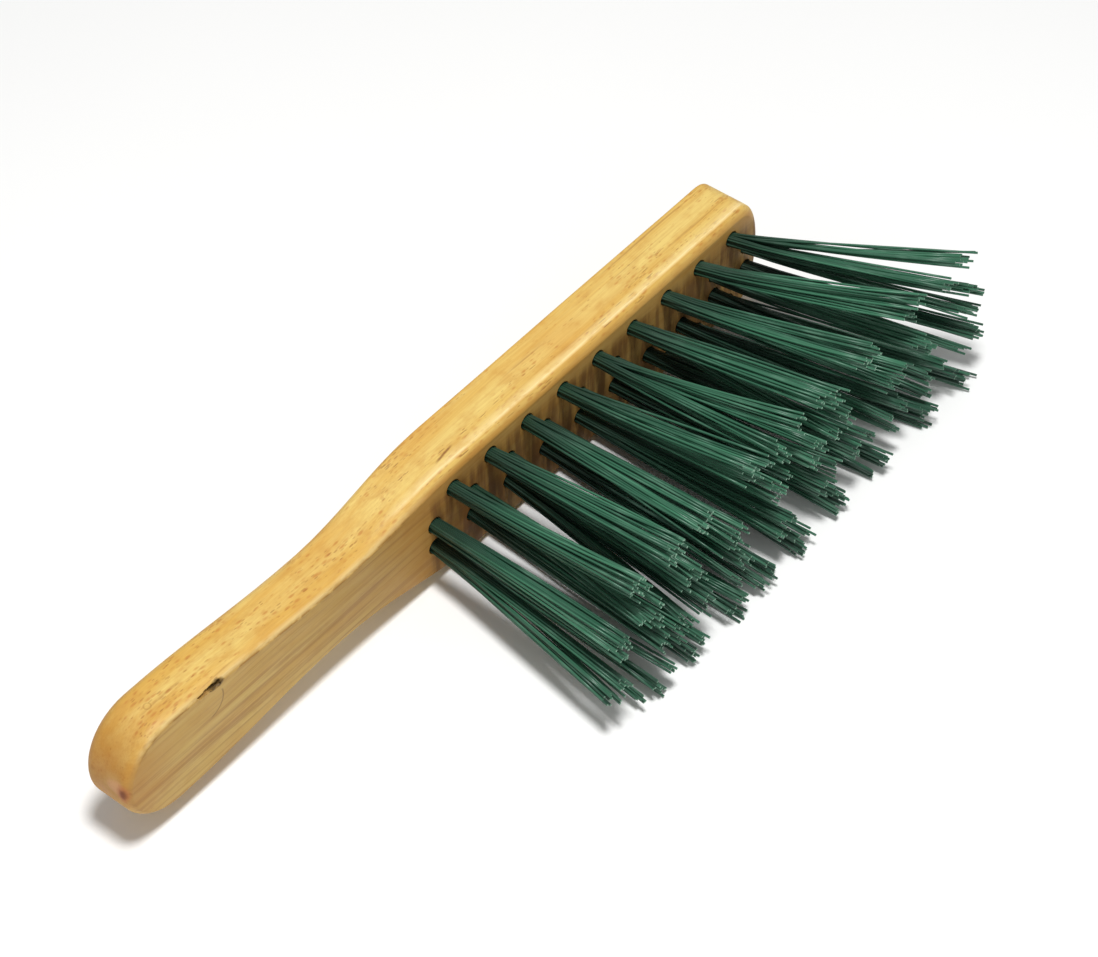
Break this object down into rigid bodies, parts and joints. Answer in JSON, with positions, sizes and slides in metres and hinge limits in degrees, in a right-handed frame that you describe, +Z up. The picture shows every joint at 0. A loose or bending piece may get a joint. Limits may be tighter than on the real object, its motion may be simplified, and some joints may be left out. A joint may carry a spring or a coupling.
{
  "type": "bee brush",
  "caption": "Hand brush for moving bees: a solid varnished wooden stock with a palm grip, a neck and a flat head, set with staggered rows of long stiff green filament tufts.",
  "frame": {"origin": "centre of the bottom of the brush's box, on the surface that the brush lies on", "axes": "+X along the stock from the palm grip to the head's end; the filaments point along -Y; +Z up from the surface, across the width of the head"},
  "size_m": [0.3242, 0.1014, 0.0516],
  "materials": {
    "varnished_wood": "clear semi-gloss varnish over straight-grained pale wood",
    "green_filament": "extruded dark green plastic filament with a dull sheen",
    "anchor_wire": "bright flat staple wire"
  },
  "bodies": {
    "root": {"wooden_stock": "varnished_wood", "tuft_row1_01": "green_filament", "tuft_row1_02": "green_filament", "tuft_row1_03": "green_filament", "tuft_row1_04": "green_filament", "tuft_row1_05": "green_filament", "tuft_row1_06": "green_filament", "tuft_row1_07": "green_filament", "tuft_row1_08": "green_filament", "tuft_row1_09": "green_filament", "tuft_row2_01": "green_filament", "tuft_row2_02": "green_filament", "tuft_row2_03": "green_filament", "tuft_row2_04": "green_filament", "tuft_row2_05": "green_filament", "tuft_row2_06": "green_filament", "tuft_row2_07": "green_filament", "tuft_row2_08": "green_filament", "tuft_row2_09": "green_filament", "tuft_row2_10": "green_filament", "tuft_row3_01": "green_filament", "tuft_row3_02": "green_filament", "tuft_row3_03": "green_filament", "tuft_row3_04": "green_filament", "tuft_row3_05": "green_filament", "tuft_row3_06": "green_filament", "tuft_row3_07": "green_filament", "tuft_row3_08": "green_filament", "tuft_row3_09": "green_filament", "tuft_row3_10": "green_filament", "tuft_row4_01": "green_filament", "tuft_row4_02": "green_filament", "tuft_row4_03": "green_filament", "tuft_row4_04": "green_filament", "tuft_row4_05": "green_filament", "tuft_row4_06": "green_filament", "tuft_row4_07": "green_filament", "tuft_row4_08": "green_filament", "tuft_row4_09": "green_filament"}
  },
  "joints": []
}
